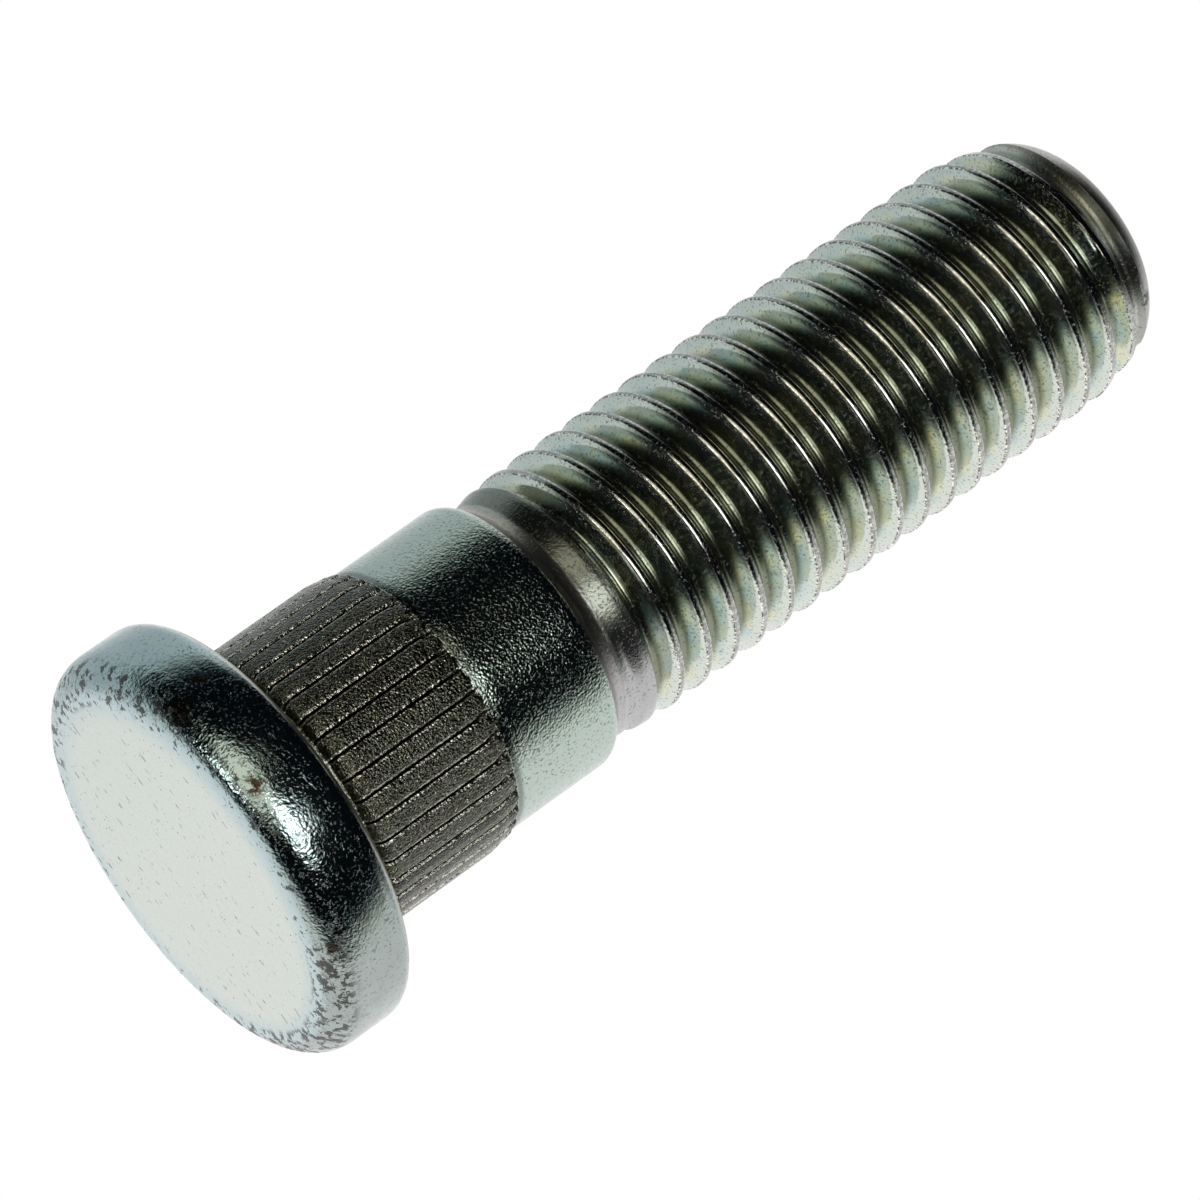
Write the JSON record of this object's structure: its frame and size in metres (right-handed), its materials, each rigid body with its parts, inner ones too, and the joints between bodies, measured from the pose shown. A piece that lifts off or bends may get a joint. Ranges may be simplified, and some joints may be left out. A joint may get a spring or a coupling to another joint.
{
  "type": "wheel_stud",
  "caption": "Press-in wheel stud with a flat round head, straight knurl, plain shoulder, relieved neck and a metric thread with a bullet tip, bright zinc plated steel.",
  "frame": {"origin": "centre of the head's flat outer face", "axes": "+Z runs along the stud from the head to the tip; X and Y lie in the head's outer face; the picture is taken from the -Y side"},
  "size_m": [0.0188, 0.0188, 0.0486],
  "materials": {
    "zinc_plated_steel": "bright zinc plating over forged and rolled steel, lightly pitted"
  },
  "bodies": {
    "root": {"wheel_stud": "zinc_plated_steel"}
  },
  "joints": []
}
